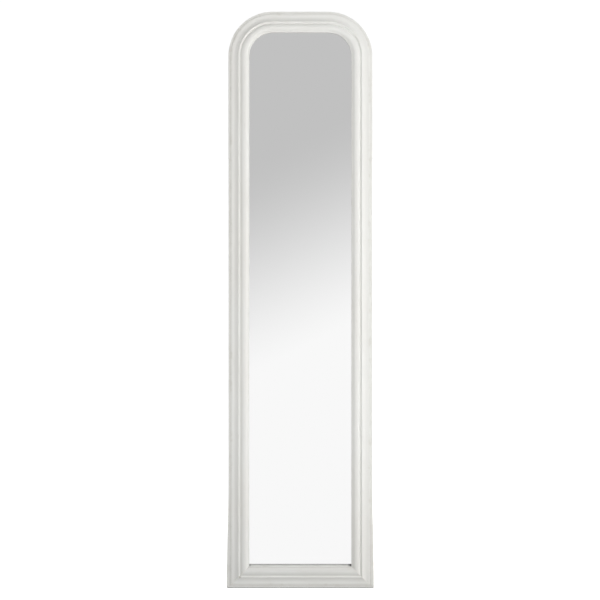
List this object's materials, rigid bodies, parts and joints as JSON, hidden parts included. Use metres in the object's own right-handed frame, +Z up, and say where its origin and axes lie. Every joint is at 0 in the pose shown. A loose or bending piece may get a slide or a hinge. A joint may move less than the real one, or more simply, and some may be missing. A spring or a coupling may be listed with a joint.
{
  "type": "cheval floor mirror",
  "caption": "Tall narrow floor mirror in a white moulded wooden frame with a round-cornered crown, leaning on a folding rear leg.",
  "frame": {"origin": "centre of the bounding box's underside, on the floor, with the rear leg open", "axes": "+Z up, +Y from the mirror's face towards the rear leg, +X to the right of a viewer who faces the mirror"},
  "size_m": [0.409, 0.3532, 1.5913],
  "materials": {
    "painted_wood": "satin off-white brushed paint over moulded wood, lightly worn on the arrises",
    "mirror_glass": "clear float glass, silvered behind",
    "back_panel": "brown hardboard, smooth face out",
    "hinge_steel": "zinc-plated, brushed",
    "screw_steel": "zinc-plated, bright",
    "rubber": "matte grey rubber",
    "foam": "closed-cell foam, off-white",
    "webbing": "woven cotton webbing, natural"
  },
  "bodies": {
    "mirror_frame": {"back_panel": "back_panel", "batten_screw_1": "screw_steel", "batten_screw_2": "screw_steel", "batten_screw_3": "screw_steel", "batten_screw_4": "screw_steel", "bottom_rail": "painted_wood", "foot_strip": "rubber", "glass_cushion_left": "foam", "glass_cushion_right": "foam", "glazing_strip": "rubber", "hinge_batten": "painted_wood", "hinge_leaf_frame_left": "hinge_steel", "hinge_leaf_frame_right": "hinge_steel", "hinge_pin_left": "hinge_steel", "hinge_pin_right": "hinge_steel", "hinge_screw_frame_1": "screw_steel", "hinge_screw_frame_2": "screw_steel", "hinge_screw_frame_3": "screw_steel", "hinge_screw_frame_4": "screw_steel", "left_corner": "painted_wood", "left_stile": "painted_wood", "mirror_glass": "mirror_glass", "panel_screw_1": "screw_steel", "panel_screw_10": "screw_steel", "panel_screw_2": "screw_steel", "panel_screw_3": "screw_steel", "panel_screw_4": "screw_steel", "panel_screw_5": "screw_steel", "panel_screw_6": "screw_steel", "panel_screw_7": "screw_steel", "panel_screw_8": "screw_steel", "panel_screw_9": "screw_steel", "right_corner": "painted_wood", "right_stile": "painted_wood", "setting_block_left": "rubber", "setting_block_right": "rubber", "stay_strap": "webbing", "strap_screw_frame": "screw_steel", "strap_washer_frame": "screw_steel", "top_rail": "painted_wood"},
    "rear_leg": {"hinge_leaf_leg_left": "hinge_steel", "hinge_leaf_leg_right": "hinge_steel", "hinge_screw_leg_1": "screw_steel", "hinge_screw_leg_2": "screw_steel", "hinge_screw_leg_3": "screw_steel", "hinge_screw_leg_4": "screw_steel", "leg_lower_rail": "painted_wood", "leg_pad_left": "rubber", "leg_pad_right": "rubber", "leg_screw_left_1": "screw_steel", "leg_screw_left_2": "screw_steel", "leg_screw_right_1": "screw_steel", "leg_screw_right_2": "screw_steel", "leg_stile_left": "painted_wood", "leg_stile_right": "painted_wood", "leg_top_rail": "painted_wood", "strap_screw_leg": "screw_steel", "strap_washer_leg": "screw_steel"}
  },
  "joints": [
    {"name": "leg_hinge", "type": "hinge", "parent": "mirror_frame", "child": "rear_leg", "pos_m": [0, 0.00495, 1.10989], "axis": [1, 0, 0], "range_deg": [-16, 0], "deforming": ["stay_strap"]}
  ]
}
